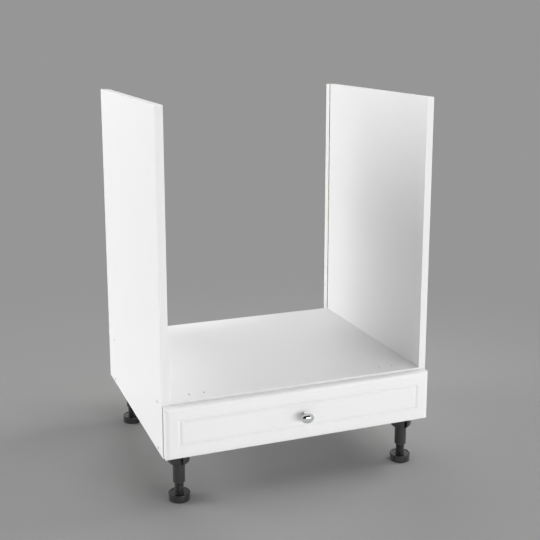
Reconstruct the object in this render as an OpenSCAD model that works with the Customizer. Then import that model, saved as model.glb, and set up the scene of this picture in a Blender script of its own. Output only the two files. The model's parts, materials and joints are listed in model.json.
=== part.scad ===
// Base cabinet that houses a built-in oven: two side panels, an oven shelf, a drawer
// below it on roller runners, and four screw-adjusted legs.
// Millimetres, +Z up, +Y to the rear. The origin is on the floor, midway in width and depth.

/* [Carcass] */
// Width of the cabinet, outside to outside
cab_w = 600; // [400:1:900]
// Depth of the side panels, front edge band included
cab_d = 510; // [440:1:650]
// Height of the side panels
side_h = 711; // [500:1:900]
// Thickness of the carcass boards
board_t = 16; // [15:0.5:19]
// Clear height of the drawer compartment
drawer_open_h = 84.5; // [75:0.5:250]
// Thickness of the edge bands
band_t = 1; // [0.4:0.1:2]
// Radius of the edge bands' long corners
band_r = 0.6; // [0.2:0.1:1]

/* [Back strip] */
// Distance from the rear edge of a side panel to its back groove
groove_inset = 20; // [10:1:30]
// Width of the back groove
groove_w = 4; // [3.2:0.1:6]
// Depth of the back groove in the side panel
groove_depth = 8; // [5:0.5:10]
// Thickness of the back strip
back_t = 3; // [2.5:0.1:3.2]
// Room left between the back strip's ends and the groove floors
back_fit = 1; // [0.5:0.1:2]
// Diameter of the back strip's screws
back_screw_d = 3.5; // [3:0.1:4]
// Length of the back strip's screws
back_screw_len = 16; // [12:1:25]
// Head diameter of the back strip's screws
back_screw_head_d = 7; // [6:0.5:9]
// Head height of the back strip's screws
back_screw_head_h = 1.8; // [1:0.1:3]
// Distance from a side panel's inner face to the back strip's first screw
back_screw_side = 44; // [30:1:120]

/* [Board joints] */
// Distance from the front edge to the first joint screw
joint_front = 37; // [30:1:60]
// Distance from the last joint screw to the rear edge of the boards
joint_rear = 33; // [25:1:60]
// Diameter of the joint screws
joint_screw_d = 5; // [4:0.5:6]
// Length of the joint screws
joint_screw_len = 50; // [40:1:60]
// Head diameter of the joint screws
joint_head_d = 7; // [6.5:0.5:9]
// Distance across the corners of the hexagon sockets
socket_d = 3.4; // [2.5:0.1:4]
// Depth of the hexagon sockets
socket_depth = 2; // [1:0.5:4]
// Diameter of the wooden dowels
dowel_d = 8; // [6:1:10]
// Length of the wooden dowels
dowel_len = 30; // [25:1:40]
// Depth of a dowel in the side panel
dowel_in_side = 10; // [8:1:12]
// Distance from a joint screw to the dowel beside it
dowel_offset = 64; // [32:32:96]
// Radial room round screws and dowels in their holes
drill_gap = 0.05; // [0.02:0.01:0.1]

/* [Oven fixing holes] */
// Diameter of the holes in the oven shelf
oven_hole_d = 5; // [3:0.5:6]
// Depth of the holes in the oven shelf
oven_hole_depth = 12; // [8:1:14]
// Distance from the front edge to the holes
oven_hole_front = 32; // [25:1:60]
// Distance from the outside of the cabinet to the first hole
oven_hole_side = 66; // [45:1:90]
// Distance between the two holes of a pair
oven_hole_pitch = 32; // [20:1:64]

/* [Drawer front] */
// Thickness of the drawer front
front_t = 18; // [16:0.5:22]
// Distance from the drawer front's upper edge up to the top of the oven shelf
front_top_gap = 4.5; // [0:0.5:12]
// Gap between the carcass and the drawer front
front_gap = 2; // [1:0.5:4]
// Distance from the outside of the cabinet to the drawer front's end
front_reveal = 2; // [1:0.5:4]
// Height of the drawer front's lower edge above the carcass underside
front_lift = 2; // [0:0.5:4]
// Radius of the drawer front's rounded edge
edge_round = 6; // [3:0.5:8]
// Height of the small step where the rounded edge meets the flat face
edge_step = 0.8; // [0.4:0.1:1.5]
// Distance from the drawer front's edge to the foot of that step
step_inset = 6.5; // [6:0.5:12]
// Distance from the drawer front's edge to the centre line of the milled groove
milled_line = 30; // [22:1:40]
// Width of the milled groove
milled_w = 8; // [4:0.5:10]
// Depth of the milled groove
milled_depth = 2.5; // [1:0.5:5]

/* [Knob] */
// Reach of the knob from the drawer front
knob_h = 28; // [24:0.5:40]
// Width of the knob's oval head
knob_head_w = 28; // [20:0.5:36]
// Height of the knob's oval head
knob_head_h = 21.5; // [16:0.5:36]
// Height of the domed head above the widest line of its rim
knob_rise = 6.5; // [5:0.5:10]
// Radius of the head's rounded rim
knob_rim_r = 2.8; // [2:0.1:4]
// Diameter of the knob's stem
knob_stem_d = 9; // [7:0.5:12]
// Height at which the stem starts to widen into the head
knob_neck = 12; // [8:0.5:14]
// Diameter of the knob's foot
knob_foot_d = 12.5; // [12:0.5:18]
// Thickness of the knob's foot
knob_foot_t = 2; // [1:0.5:4]
// Diameter of the knob's screw
knob_screw_d = 4; // [3:0.5:5]
// Depth of the knob's screw hole
knob_hole_depth = 14; // [8:0.5:16]
// Length of the knob's screw held in the knob
knob_screw_grip = 11; // [6:0.5:13]
// Head diameter of the knob's screw
knob_screw_head_d = 8; // [6:0.5:10]
// Head height of the knob's screw
knob_screw_head_h = 2.6; // [1.5:0.1:4]

/* [Drawer box] */
// Thickness of the drawer box's boards
box_t = 16; // [12:0.5:18]
// Room above the drawer box, in which its rollers are lifted out of the track
lift_room = 12.3; // [10:0.1:30]
// Thickness of the drawer's bottom sheet
sheet_t = 3; // [2.5:0.1:4]
// Height of the bottom sheet above the drawer box's lower edge
sheet_up = 10; // [8:1:14]
// Depth of the bottom sheet's groove
sheet_groove_depth = 8; // [5:0.5:9]
// Room above the bottom sheet in its groove
sheet_play = 0.4; // [0.1:0.1:1]
// Room left between the bottom sheet's edges and the groove floors
sheet_fit = 1; // [0.5:0.1:2]
// Diameter of the drawer box's screws
box_screw_d = 4; // [3:0.5:5]
// Length of the drawer box's screws
box_screw_len = 45; // [35:1:50]
// Head diameter of the drawer box's screws
box_screw_head_d = 7.5; // [6:0.5:9]
// Height of the lower row of drawer screws above the box's lower edge
screw_row_low = 24; // [20:1:28]
// Distance of the upper row of drawer screws below the box's upper edge
screw_row_high = 12; // [8:1:20]
// Length of the screws from the box into the drawer front
fix_screw_len = 28; // [24:1:30]
// Distance from the box's inner corner to those screws
fix_screw_inset = 60; // [45:1:100]

/* [Runners] */
// Room between the end of the cabinet rail and the back strip
rail_rear = 33; // [8:1:60]
// Sheet thickness of the runners
rail_t = 1.2; // [1:0.1:1.5]
// Inside radius of the runners' bends
rail_bend = 0.6; // [0.3:0.1:0.9]
// Room between the drawer box and the side panel
rail_space = 12.5; // [12.5:0.1:14]
// Distance from the carcass front edge to the cabinet rail
rail_setback = 3; // [2:1:10]
// Height of the cabinet rail above the bottom panel
rail_up = 5; // [3:0.5:8]
// Width of the cabinet rail's track
track_w = 11; // [10.5:0.1:11]
// Height of the lip on the track's inner edge
track_lip = 2; // [1:0.5:4]
// Width of the cabinet rail's upper flange
hold_w = 8; // [6:0.5:9]
// Length of the upper flange that is cut away at the front
mouth_len = 40; // [30:1:60]
// Width of the end stop that is folded in from the cabinet rail's web
stop_w = 8; // [6:0.5:9]
// Distance of the end stop from the rail's underside and top
stop_edge = 4; // [3:0.5:6]
// Width of the slots between the cabinet rail's screws
rail_slot_w = 4.5; // [3.5:0.5:6]
// Length of those slots, end to end
rail_slot_len = 12; // [8:0.5:16]
// Width of the drawer rail's flange under the drawer side
under_w = 14; // [10:0.5:15]
// Height of the under flange above the cabinet rail's underside
under_up = 6; // [5:0.5:8]
// Outer edge of the drawer rail's running flange, from the side panel
run_edge = 2.5; // [2:0.1:4]
// Room between the running flange and the upper flange
run_gap = 0.6; // [0.4:0.1:1]
// Length of the running flange that is cut away at the rear
cut_len = 26; // [24:1:40]
// Diameter of the drawer's rear rollers
rear_roller_d = 18; // [17:0.5:20]
// Diameter of the cabinet's front rollers
front_roller_d = 16; // [14:0.5:16]
// Width of the rollers
roller_w = 6; // [5:0.5:6]
// Running gap round the rollers
roller_gap = 0.3; // [0.2:0.05:0.4]
// Distance from a rail's end to its roller
roller_inset = 12; // [11:0.5:16]
// Depth of the moulded recess in a roller's faces
roller_recess = 1; // [0.5:0.1:2]
// Wall of a roller's rim and of its hub beside that recess
roller_wall = 2; // [1:0.1:3]
// Width of the chamfer on a roller's tread
roller_chamfer = 0.4; // [0.2:0.1:1]
// Diameter of the roller pins
pin_d = 4; // [3:0.5:5]
// Radial running clearance of the rollers on their pins
pin_gap = 0.05; // [0.02:0.01:0.1]
// Head diameter of the roller pins
pin_head_d = 6; // [5.5:0.5:8]
// Head thickness of the roller pins
pin_head_t = 0.7; // [0.5:0.1:1]
// Side play between a roller and its pin's head
pin_play = 0.2; // [0.1:0.05:0.3]
// Diameter of the cabinet rail's screws
rail_screw_d = 5; // [4:0.5:6]
// Length of the cabinet rail's screws in the side panel
rail_screw_len = 12; // [8:0.5:13]
// Head diameter of the cabinet rail's screws
rail_screw_head_d = 9; // [7:0.5:10]
// Head thickness of the cabinet rail's screws
rail_screw_head_t = 1; // [0.6:0.1:1]
// Least distance from the cabinet rail's end to its last screw
rail_screw_end = 15; // [10:1:30]
// Distance of the drawer rail's first and last screws from its ends
under_screw_inset = 40; // [30:1:60]
// Diameter of the drawer rail's screws
under_screw_d = 3.5; // [3:0.5:4]
// Length of the drawer rail's screws in the drawer side
under_screw_len = 12; // [8:0.5:14]
// Head diameter of the drawer rail's screws
under_screw_head_d = 7; // [5:0.5:8]
// Head thickness of the drawer rail's screws
under_screw_head_t = 1.2; // [0.8:0.1:2]

/* [Legs] */
// Height of the carcass above the floor
leg_h = 109; // [105:1:120]
// Distance from the outside of the cabinet to a leg's axis
leg_inset_side = 40.7; // [40.7:0.1:60]
// Distance from the front edge to the front legs' axes
leg_inset_front = 29.5; // [29:0.5:60]
// Distance from the rear edge to the rear legs' axes
leg_inset_rear = 50; // [50:1:80]
// Outer diameter of the leg tube
tube_d = 26; // [24:0.5:30]
// Length of a leg, from the carcass to the tube's lower end
leg_len = 71; // [64:1:72]
// Chamfer round the tube's lower end
tube_chamfer = 1.8; // [0.5:0.1:2.5]
// Thickness of the leg's closed top
leg_top_t = 5; // [4:0.5:6]
// Outer diameter of the lobed head
head_d = 47; // [44:0.5:49]
// Height of the head's straight part, above its rounded underside
head_rim = 18.5; // [10:0.5:20]
// Number of lobes of the head, each with a screw
lobes = 4; // [3:1:4]
// Width of the slots between the lobes
lobe_slot = 6.5; // [4:0.5:8]
// Diameter of the leg's screws
leg_screw_d = 4; // [3:0.5:4.5]
// Length of the leg's screws in the bottom panel
leg_screw_len = 12; // [8:1:14]
// Head diameter of the leg's screws
leg_screw_head_d = 7.5; // [6:0.5:8]
// Head height of the leg's screws
leg_screw_head_h = 2.4; // [1.5:0.1:3]
// Thickness of the lobe under the screw's head
lobe_seat_t = 4; // [3:0.5:5]
// Radial room round the leg screw's head in the lobe
lobe_head_gap = 0.4; // [0.2:0.1:1]

/* [Feet] */
// Diameter of the threaded spindle
spindle_d = 19.8; // [18:0.1:20]
// Radial clearance of the spindle in the tube
spindle_gap = 0.08; // [0.02:0.01:0.1]
// Height of the spindle's top above the floor
spindle_top = 82; // [70:1:84]
// Chamfer round the spindle's top
spindle_chamfer = 1; // [0.5:0.1:2]
// Diameter of the foot
foot_d = 46.5; // [40:0.5:60]
// Height of the foot
foot_h = 16; // [12:0.5:18]
// Radius of the foot's rounded upper edge
foot_round = 2; // [0.5:0.1:3]
// Width of the foot's lower chamfer
foot_chamfer = 0.8; // [0.4:0.1:2]
// Depth of the shallow dish in the foot's top
foot_dish = 1.2; // [0.5:0.1:3]
// Width of the rim round the dish
foot_rim = 3; // [1.5:0.5:6]
// Diameter of the foot's collar
collar_d = 22; // [21:0.5:26]
// Height of the collar above the foot
collar_h = 1; // [0.5:0.5:8]
// Height of the collar's sloping upper edge
collar_slope = 1; // [0.5:0.1:2]

/* [Hidden] */

$fn = 48;
// Overlap of solids that are joined, and reach of a cut past the face that it opens
eps = 0.01;
// Points round the knob's oval head, and the steps in degrees of its rings on the rim and dome
head_points = 48;
rim_step = 18;
dome_step = 10;
// Half width of the head's topmost ring
crown_flat = 0.3;
// How far inside the stem the head's underside starts
neck_sink = 0.5;
cut = 1;
// Spacing of the rows of holes that cabinet fittings are made for
system_pitch = 32;

white_board = [0.93, 0.93, 0.93];
white_foil = [0.92, 0.92, 0.92];
white_sheet = [0.88, 0.88, 0.87];
white_steel = [0.86, 0.86, 0.84];
bright_steel = [0.72, 0.73, 0.75];
beech = [0.82, 0.66, 0.46];
chrome_grey = [0.80, 0.81, 0.83];
black_plastic = [0.16, 0.16, 0.17];
roller_plastic = [0.90, 0.90, 0.88];

// Depth runs from the knob's face to the side panels' rear edges.
front_reach = front_gap + front_t + knob_h;
y_front = front_reach - (cab_d + front_reach) / 2;
y_box = y_front - front_gap;
y_face = y_box - front_t;
inner_w = cab_w - 2 * board_t;
inner_d = cab_d - groove_inset - groove_w;

z_floor_top = leg_h + board_t;
z_shelf = z_floor_top + drawer_open_h;
z_shelf_top = z_shelf + board_t;
// Middles of the two boards between the side panels
board_mids = [leg_h + board_t / 2, z_shelf + board_t / 2];
joint_last = inner_d - joint_rear;
joint_ys = [joint_front, joint_last];
dowel_ys = [joint_front + dowel_offset, joint_last - dowel_offset];
back_screw_reach = inner_w / 2 - back_screw_side;
back_screw_xs = [-back_screw_reach, 0, back_screw_reach];

// The cabinet rail, the drawer rail and the drawer box are equally long.
rail_len = inner_d - rail_setback - rail_rear;
// Heights in a runner, from the cabinet rail's underside
rail_z = z_floor_top + rail_up;
rear_roller_up = rail_t + roller_gap + rear_roller_d / 2;
hold_up = rail_t + 2 * roller_gap + rear_roller_d;
run_up = hold_up - run_gap - rail_t;
front_roller_up = run_up - roller_gap - front_roller_d / 2;
rail_h = hold_up + rail_t;
// Height of the drawer rail's web, and the outer radius of both rails' bends
web_h = run_up + rail_t - under_up;
bend_out = rail_bend + rail_t;
// Widths in a runner, from the side panel's inner face
front_roller_in = rail_t + 2 * pin_play;
rear_roller_in = track_w - rail_t - roller_gap - roller_w;
rail_last_step = floor((rail_setback + rail_len - joint_front - rail_screw_end) / system_pitch);
rail_screw_steps = [0, ceil((rail_last_step + 1) / 2), rail_last_step];
rail_screw_ys = [for (k = rail_screw_steps) joint_front + k * system_pitch];
// A slot lies midway between two steps of the screws' row, at every second pair of steps.
rail_slot_ys = [for (k = [1:2:rail_last_step - 1]) joint_front + (k + 0.5) * system_pitch];
cabinet_roller_y = y_front + rail_setback + roller_inset;
drawer_roller_y = y_box + rail_len - roller_inset;
under_screw_ys = [under_screw_inset, rail_len / 2, rail_len - under_screw_inset];

box_w = inner_w - 2 * rail_space;
box_z = rail_z + under_up + rail_t;
box_h = z_shelf - box_z - lift_room;
box_inner_w = box_w - 2 * box_t;
screw_rows = [box_z + screw_row_low, box_z + box_h - screw_row_high];
fix_screw_x = box_inner_w / 2 - fix_screw_inset;

front_w = cab_w - 2 * front_reveal;
front_z = leg_h + front_lift;
front_h = z_shelf_top - front_top_gap - front_z;
knob_z = front_z + front_h / 2;

// Distance of the knob's widest line from the drawer front
knob_rim_y = knob_h - knob_rise;

bore_r = spindle_d / 2 + spindle_gap;
// Radius of the circle that a leg's screws stand on, midway across its lobes
lobe_out = (head_d + tube_d) / 4;
bowl_r = head_d / 2 - tube_d / 2;
tube_end = leg_h - leg_len;
leg_x = cab_w / 2 - leg_inset_side;
leg_front_y = y_front + leg_inset_front;
leg_rear_y = y_front + cab_d - leg_inset_rear;

// Side 1 is the right-hand side and side -1 its mirror image.
module on_side(side) {
    mirror([side < 0 ? 1 : 0, 0, 0]) children();
}

module both_sides() {
    on_side(1) children();
    on_side(-1) children();
}

// A straight hole or shank along X, from x to x + length
module along_x(d, x, length) {
    translate([x, 0, 0]) rotate([0, 90, 0]) cylinder(d = d, h = length);
}

// A straight hole or shank along Y, from y to y + length
module along_y(d, y, length) {
    translate([0, y, 0]) rotate([-90, 0, 0]) cylinder(d = d, h = length);
}

// Countersunk screw that points down from z = 0, or its hole when it is widened by gap
module sunk_screw(d, head_d, length, gap = 0) {
    head_h = (head_d - d) / 2;
    translate([0, 0, -length - gap]) cylinder(d = d + 2 * gap, h = length + gap);
    translate([0, 0, -head_h]) cylinder(d1 = d + 2 * gap, d2 = head_d + 2 * gap, h = head_h);
}

// Flat-headed screw: the shank points down from z = 0 and the head stands on it
module flat_screw(d, length, head_d, head_h) {
    translate([0, 0, -length]) cylinder(d = d, h = length + head_h / 2);
    difference() {
        cylinder(d = head_d, h = head_h);
        translate([0, 0, head_h / 2]) cylinder(d = socket_d, h = head_h, $fn = 6);
    }
}

// Places children at every joint screw, pointing down into the right side panel's face.
module at_joint_screws() {
    for (z = board_mids, y = joint_ys)
        translate([cab_w / 2, y_front + y, z]) rotate([0, 90, 0]) children();
}

module joint_holes() {
    at_joint_screws() sunk_screw(joint_screw_d, joint_head_d, joint_screw_len, drill_gap);
    for (z = board_mids, y = dowel_ys)
        translate([0, y_front + y, z])
            along_x(dowel_d + 2 * drill_gap, dowel_x() - drill_gap, dowel_len + 2 * drill_gap);
}

// Inner end of a dowel on the right-hand side
function dowel_x() = inner_w / 2 + dowel_in_side - dowel_len;

module rail_screw_places() {
    for (y = rail_screw_ys)
        translate([inner_w / 2 - rail_t, y_front + y, rail_z + rail_h / 2])
            rotate([0, -90, 0]) children();
}

module side_panel(side) {
    color(white_board) on_side(side) difference() {
        translate([inner_w / 2, y_front + band_t, leg_h])
            cube([board_t, cab_d - band_t, side_h]);
        translate([inner_w / 2 - eps, y_front + inner_d, leg_h - eps])
            cube([groove_depth + eps, groove_w, side_h + 2 * eps]);
        joint_holes();
        rail_screw_places() translate([0, 0, -rail_t - rail_screw_len - drill_gap])
            cylinder(d = rail_screw_d + 2 * drill_gap, h = rail_screw_len + rail_t);
    }
}

module carcass_board(z) {
    translate([-inner_w / 2, y_front + band_t, z])
        cube([inner_w, inner_d - band_t, board_t]);
}

module back_screw_places() {
    for (z = board_mids, x = back_screw_xs)
        translate([x, y_front + inner_d + back_t, z]) rotate([-90, 0, 0]) children();
}

module back_screw_holes() {
    back_screw_places() translate([0, 0, -back_screw_len - drill_gap])
        cylinder(d = back_screw_d + 2 * drill_gap, h = back_screw_len + cut);
}

module oven_shelf() {
    first = cab_w / 2 - oven_hole_side;
    color(white_board) difference() {
        carcass_board(z_shelf);
        both_sides() joint_holes();
        back_screw_holes();
        both_sides() for (x = [first, first - oven_hole_pitch])
            translate([x, y_front + oven_hole_front, z_shelf_top - oven_hole_depth])
                cylinder(d = oven_hole_d, h = oven_hole_depth + cut);
    }
}

module bottom_panel() {
    color(white_board) difference() {
        carcass_board(leg_h);
        both_sides() joint_holes();
        back_screw_holes();
        at_leg_screws() cylinder(d = leg_screw_d + 2 * drill_gap, h = leg_screw_len + drill_gap);
    }
}

module back_strip() {
    reach = inner_w / 2 + groove_depth - back_fit;
    color(white_sheet) difference() {
        translate([-reach, y_front + inner_d, leg_h])
            cube([2 * reach, back_t, z_shelf_top - leg_h]);
        back_screw_holes();
    }
}

// Strip along Z with rounded long corners on its front face
module upright_band(w, h) {
    linear_extrude(h) difference() {
        square([w, band_t]);
        for (x = [0, w]) translate([x, 0]) difference() {
            square(band_r, center = true);
            translate([x > 0 ? -band_r / 2 : band_r / 2, band_r / 2]) circle(band_r / 2);
        }
    }
}

module side_edge_bands() {
    color(white_board) both_sides()
        translate([inner_w / 2, y_front, leg_h]) upright_band(board_t, side_h);
}

// Strip across the cabinet, on the front edge of a board whose underside is at z
module cross_band(z) {
    color(white_board) translate([inner_w / 2, y_front, z])
        rotate([0, -90, 0]) upright_band(board_t, inner_w);
}

module joint_screws() {
    color(bright_steel) both_sides() at_joint_screws() difference() {
        sunk_screw(joint_screw_d, joint_head_d, joint_screw_len);
        translate([0, 0, -socket_depth]) cylinder(d = socket_d, h = socket_depth + cut, $fn = 6);
    }
}

module joint_dowels() {
    color(beech) both_sides() for (z = board_mids, y = dowel_ys)
        translate([0, y_front + y, z]) along_x(dowel_d, dowel_x(), dowel_len);
}

module back_strip_screws() {
    color(bright_steel) back_screw_places()
        flat_screw(back_screw_d, back_screw_len, back_screw_head_d, back_screw_head_h);
}

// Outline of the leg's head from above: a disc slotted down to the tube between its lobes
module lobed_outline() {
    difference() {
        circle(d = head_d);
        for (k = [1:lobes]) rotate(k * 360 / lobes)
            translate([tube_d / 2, -lobe_slot / 2]) square([head_d / 2, lobe_slot]);
    }
    circle(d = tube_d);
}

function lobe_angles() = [for (k = [1:lobes]) (k - 0.5) * 360 / lobes];

// Half section of the bowl-shaped head, its flat top at z = 0
module bowl_section() {
    translate([0, -head_rim]) square([head_d / 2, head_rim]);
    translate([0, -head_rim - bowl_r]) square([tube_d / 2, bowl_r + eps]);
    intersection() {
        translate([tube_d / 2, -head_rim]) circle(bowl_r);
        translate([tube_d / 2 - eps, -head_rim - bowl_r]) square([bowl_r + eps, bowl_r + eps]);
    }
}

// Half section of the tube with its chamfered lower end, in heights above the floor
module tube_section() {
    polygon([
        [bore_r, tube_end], [tube_d / 2 - tube_chamfer, tube_end],
        [tube_d / 2, tube_end + tube_chamfer], [tube_d / 2, leg_h - leg_top_t],
        [bore_r, leg_h - leg_top_t]
    ]);
}

module leg() {
    difference() {
        union() {
            rotate_extrude() tube_section();
            translate([0, 0, leg_h]) intersection() {
                translate([0, 0, -head_rim - bowl_r])
                    linear_extrude(head_rim + bowl_r) lobed_outline();
                rotate_extrude() bowl_section();
            }
        }
        translate([0, 0, tube_end - cut])
            cylinder(r = bore_r, h = leg_h - leg_top_t - tube_end + cut);
        for (a = lobe_angles()) rotate(a) translate([lobe_out, 0, 0]) {
            cylinder(d = leg_screw_d + 2 * drill_gap, h = leg_h + cut);
            translate([0, 0, leg_h - lobe_seat_t - leg_h / 2])
                cylinder(d = leg_screw_head_d + 2 * lobe_head_gap, h = leg_h / 2);
        }
    }
}

module leg_at(side, y) {
    color(black_plastic) translate([side * leg_x, y, 0]) leg();
}

// Places children at the top of each leg, at every screw of its head, pointing up.
module at_leg_screws() {
    for (side = [-1, 1], y = [leg_front_y, leg_rear_y], a = lobe_angles())
        translate([side * leg_x, y, leg_h]) rotate(a) translate([lobe_out, 0, 0]) children();
}

module leg_screws() {
    color(bright_steel) at_leg_screws() translate([0, 0, -lobe_seat_t]) mirror([0, 0, 1])
        flat_screw(leg_screw_d, leg_screw_len + lobe_seat_t, leg_screw_head_d, leg_screw_head_h);
}

// Half section of the foot, its collar and its spindle
module foot_section() {
    foot_r = foot_d / 2;
    dish_r = foot_r - foot_rim;
    difference() {
        union() {
            polygon([
                [0, 0], [foot_r - foot_chamfer, 0], [foot_r, foot_chamfer],
                [foot_r, foot_h - foot_round], [0, foot_h - foot_round]
            ]);
            translate([0, foot_h - foot_round - eps]) square([foot_r - foot_round, foot_round + eps]);
            intersection() {
                translate([foot_r - foot_round, foot_h - foot_round]) circle(foot_round);
                translate([0, foot_h - foot_round - eps]) square([foot_r, foot_round + eps]);
            }
        }
        polygon([
            [spindle_d / 2, foot_h + cut], [spindle_d / 2, foot_h - foot_dish],
            [dish_r - foot_dish, foot_h - foot_dish], [dish_r, foot_h], [dish_r, foot_h + cut]
        ]);
    }
    polygon([
        [0, foot_chamfer], [collar_d / 2, foot_chamfer],
        [collar_d / 2, foot_h + collar_h - collar_slope],
        [spindle_d / 2, foot_h + collar_h], [spindle_d / 2, spindle_top - spindle_chamfer],
        [spindle_d / 2 - spindle_chamfer, spindle_top], [0, spindle_top]
    ]);
}

module foot_at(side, y) {
    color(black_plastic) translate([side * leg_x, y, 0]) rotate_extrude() foot_section();
}

module rounded_square(w, h, r) {
    translate([r, 0]) square([w - 2 * r, h]);
    translate([0, r]) square([w, h - 2 * r]);
    for (x = [r, w - r], y = [r, h - r]) translate([x, y]) circle(r);
}

// Wall of a channel that is bent from the runners' sheet, w wide and h high outside
module bent_channel(w, h) {
    difference() {
        rounded_square(w, h, bend_out);
        translate([rail_t, rail_t]) rounded_square(w - 2 * rail_t, h - 2 * rail_t, rail_bend);
    }
}

// Sheet that comes up along Y and turns at the origin into a flange, which ends at x = w
module bent_flange(w) {
    intersection() {
        translate([0, -2 * w]) bent_channel(2 * w, 2 * w);
        translate([0, -bend_out - eps]) square([w, bend_out + eps]);
    }
}

// Section of the cabinet rail: web, track with a lip, and upper flange. Seen from the side
// panel, x grows towards the drawer.
module cabinet_rail_section() {
    difference() {
        bent_channel(track_w, rail_h);
        translate([hold_w, rail_t + track_lip]) square([track_w, rail_h]);
    }
}

// The upper flange is cut away at its mouth, and the web's rear end is folded to a stop.
module cabinet_rail_shape() {
    fold_y = rail_len - bend_out;
    difference() {
        translate([0, fold_y, 0]) rotate([90, 0, 0])
            linear_extrude(fold_y) cabinet_rail_section();
        translate([-cut, -cut, rail_h - bend_out])
            cube([hold_w + 2 * cut, mouth_len + cut, bend_out + cut]);
    }
    translate([0, rail_len, stop_edge])
        linear_extrude(rail_h - 2 * stop_edge) bent_flange(stop_w);
}

// Obround slot along Y, centred, cut down through the web
module rail_slot() {
    straight = rail_slot_len - rail_slot_w;
    linear_extrude(rail_t + 2 * cut) {
        square([rail_slot_w, straight], center = true);
        for (y = [-straight / 2, straight / 2]) translate([0, y]) circle(d = rail_slot_w, $fn = 24);
    }
}

module cabinet_rail(side) {
    color(white_steel) on_side(side) difference() {
        translate([inner_w / 2, y_front + rail_setback, rail_z])
            mirror([1, 0, 0]) cabinet_rail_shape();
        rail_screw_places() translate([0, 0, -rail_t - cut])
            cylinder(d = rail_screw_d + 2 * drill_gap, h = rail_t + 2 * cut);
        for (y = rail_slot_ys)
            translate([inner_w / 2 + cut, y_front + y, rail_z + rail_h / 2])
                rotate([0, -90, 0]) rail_slot();
        translate([inner_w / 2 - rail_t, cabinet_roller_y, rail_z + front_roller_up])
            along_x(pin_d + 2 * drill_gap, -cut, rail_t + 2 * cut);
    }
}

module cabinet_rail_screws() {
    color(bright_steel) both_sides() rail_screw_places()
        flat_screw(rail_screw_d, rail_t + rail_screw_len, rail_screw_head_d, rail_screw_head_t);
}

// Roller along X with its near face at x = 0, a chamfered tread and a recess in each face
module roller(d) {
    difference() {
        rotate([0, 90, 0]) rotate_extrude() difference() {
            translate([pin_d / 2 + pin_gap, 0]) square([d / 2 - pin_d / 2 - pin_gap, roller_w]);
            for (end = [0, roller_w]) translate([d / 2, end]) rotate(45)
                square(roller_chamfer * sqrt(2), center = true);
        }
        for (face = [-cut, roller_w - roller_recess])
            translate([face, 0, 0]) rotate([0, 90, 0]) difference() {
                cylinder(d = d - 2 * roller_wall, h = roller_recess + cut);
                translate([0, 0, -cut])
                    cylinder(d = pin_d + 2 * roller_wall, h = roller_recess + 3 * cut);
            }
    }
}

// Pin along X: the shank from x = 0, the head past its far end
module roller_pin(shank) {
    along_x(pin_d, 0, shank + pin_head_t / 2);
    along_x(pin_head_d, shank, pin_head_t);
}

module at_cabinet_roller() {
    translate([inner_w / 2, cabinet_roller_y, rail_z + front_roller_up])
        mirror([1, 0, 0]) children();
}

module at_drawer_roller() {
    translate([inner_w / 2 - rail_space, drawer_roller_y, rail_z + rear_roller_up]) children();
}

module cabinet_roller(side) {
    color(roller_plastic) on_side(side) at_cabinet_roller()
        translate([front_roller_in, 0, 0]) roller(front_roller_d);
}

module cabinet_roller_pins() {
    color(bright_steel) both_sides() at_cabinet_roller()
        roller_pin(front_roller_in + roller_w + pin_play);
}

module drawer_roller(side) {
    color(roller_plastic) on_side(side) at_drawer_roller()
        translate([rail_space - rear_roller_in - roller_w, 0, 0]) roller(rear_roller_d);
}

module drawer_roller_pins() {
    color(bright_steel) both_sides() at_drawer_roller()
        roller_pin(rail_space - rear_roller_in + pin_play);
}

// Section of the drawer front across one of its edges, seen along the edge: size is the
// front's height or width, and y = 0 is its back.
module front_section(size) {
    round_y = front_t - edge_step - edge_round;
    square([size, round_y]);
    translate([edge_round, round_y - eps]) square([size - 2 * edge_round, edge_round + eps]);
    for (x = [edge_round, size - edge_round]) translate([x, round_y]) circle(edge_round);
    translate([step_inset, round_y]) square([size - 2 * step_inset, front_t - round_y]);
}

// One side of the milled groove: a V along X, centred, mitred at both ends
module milled_side(length) {
    half = length / 2;
    intersection() {
        translate([-half - milled_w, 0, 0]) rotate([90, 0, 90]) linear_extrude(length + 2 * milled_w)
            polygon([
                [-milled_w / 2, 0], [0, -milled_depth], [milled_w / 2, 0],
                [milled_w / 2, cut], [-milled_w / 2, cut]
            ]);
        translate([0, 0, -milled_depth - cut]) linear_extrude(milled_depth + 3 * cut)
            polygon([
                [-half - milled_w / 2, -milled_w / 2], [half + milled_w / 2, -milled_w / 2],
                [half - milled_w / 2, milled_w / 2], [-half + milled_w / 2, milled_w / 2]
            ]);
    }
}

// The milled rectangle lies in the plane z = 0 and is cut downwards.
module milled_rectangle() {
    long_side = front_w - 2 * milled_line;
    short_side = front_h - 2 * milled_line;
    for (a = [0, 180]) rotate(a) translate([0, -short_side / 2, 0]) milled_side(long_side);
    for (a = [90, 270]) rotate(a) translate([0, -long_side / 2, 0]) milled_side(short_side);
}

module drawer_front() {
    color(white_foil) difference() {
        intersection() {
            translate([front_w / 2, y_box, front_z]) rotate([0, 0, 180])
                linear_extrude(front_h) front_section(front_w);
            translate([-front_w / 2, y_box, front_z]) rotate([0, -90, 180])
                linear_extrude(front_w) front_section(front_h);
        }
        translate([0, y_face, knob_z]) rotate([90, 0, 0]) milled_rectangle();
        fix_screw_holes();
        knob_screw_hole();
    }
}

module fix_screw_places() {
    for (x = [-fix_screw_x, fix_screw_x], z = screw_rows)
        translate([x, y_box + box_t, z]) rotate([-90, 0, 0]) children();
}

module fix_screw_holes() {
    fix_screw_places() sunk_screw(box_screw_d, box_screw_head_d, fix_screw_len, drill_gap);
}

module knob_screw_hole() {
    translate([0, y_face, knob_z])
        along_y(knob_screw_d + 2 * drill_gap, -cut, front_t + box_t + 2 * cut);
}

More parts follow.
